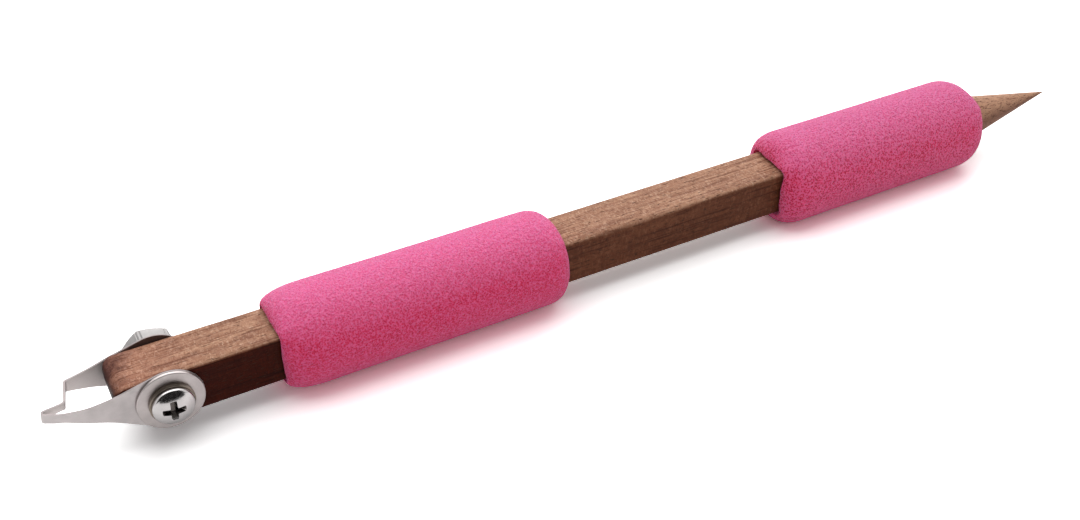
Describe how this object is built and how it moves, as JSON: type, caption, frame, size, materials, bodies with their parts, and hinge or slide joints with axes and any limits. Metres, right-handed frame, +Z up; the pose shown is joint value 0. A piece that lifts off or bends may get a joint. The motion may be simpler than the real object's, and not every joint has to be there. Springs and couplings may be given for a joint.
{
  "type": "v-tip carving tool",
  "caption": "Hand tool: a bent steel ribbon blade clamped across the end of a square wooden handle, with foam grips and a sharpened wooden point at the other end.",
  "frame": {"origin": "under the middle of the tool's box, on the surface that the foam grips lie on", "axes": "+X along the handle towards the wooden point, -X towards the blade; +Y along the clamp screw towards its nut; +Z up"},
  "size_m": [0.1862, 0.0162, 0.0157],
  "materials": {
    "wood": "planed hardwood, oiled",
    "foam": "matt closed-cell foam",
    "blade_steel": "satin spring steel",
    "washer_steel": "plated steel",
    "screw_steel": "bright plated steel"
  },
  "bodies": {
    "handle": {"handle": "wood"},
    "blade": {"blade": "blade_steel", "flat_washer": "washer_steel"},
    "clamp_screw": {"clamp_screw": "screw_steel", "lock_washer": "washer_steel"},
    "clamp_nut": {"clamp_nut": "screw_steel"},
    "front_grip": {"front_grip": "foam"},
    "rear_grip": {"rear_grip": "foam"}
  },
  "joints": [
    {"name": "blade_swivel", "type": "hinge", "parent": "handle", "child": "blade", "pos_m": [-0.07696, 0, 0.00755], "axis": [0, 1, 0], "range_deg": [-120, 120]},
    {"name": "screw_turn", "type": "hinge", "parent": "handle", "child": "clamp_screw", "pos_m": [-0.07696, 0, 0.00755], "axis": [0, -1, 0], "range_deg": [0, 900]},
    {"name": "nut_travel", "type": "slide", "parent": "handle", "child": "clamp_nut", "axis": [0, 1, 0], "range_m": [0, 0.00198]},
    {"name": "front_grip_slide", "type": "slide", "parent": "handle", "child": "front_grip", "axis": [1, 0, 0], "range_m": [-0.008, 0.02]},
    {"name": "rear_grip_slide", "type": "slide", "parent": "handle", "child": "rear_grip", "axis": [1, 0, 0], "range_m": [-0.02, 0.03]}
  ],
  "couplings": [
    {"joint": "screw_turn", "follows": "nut_travel", "rad_per_m": 7915.8}
  ]
}
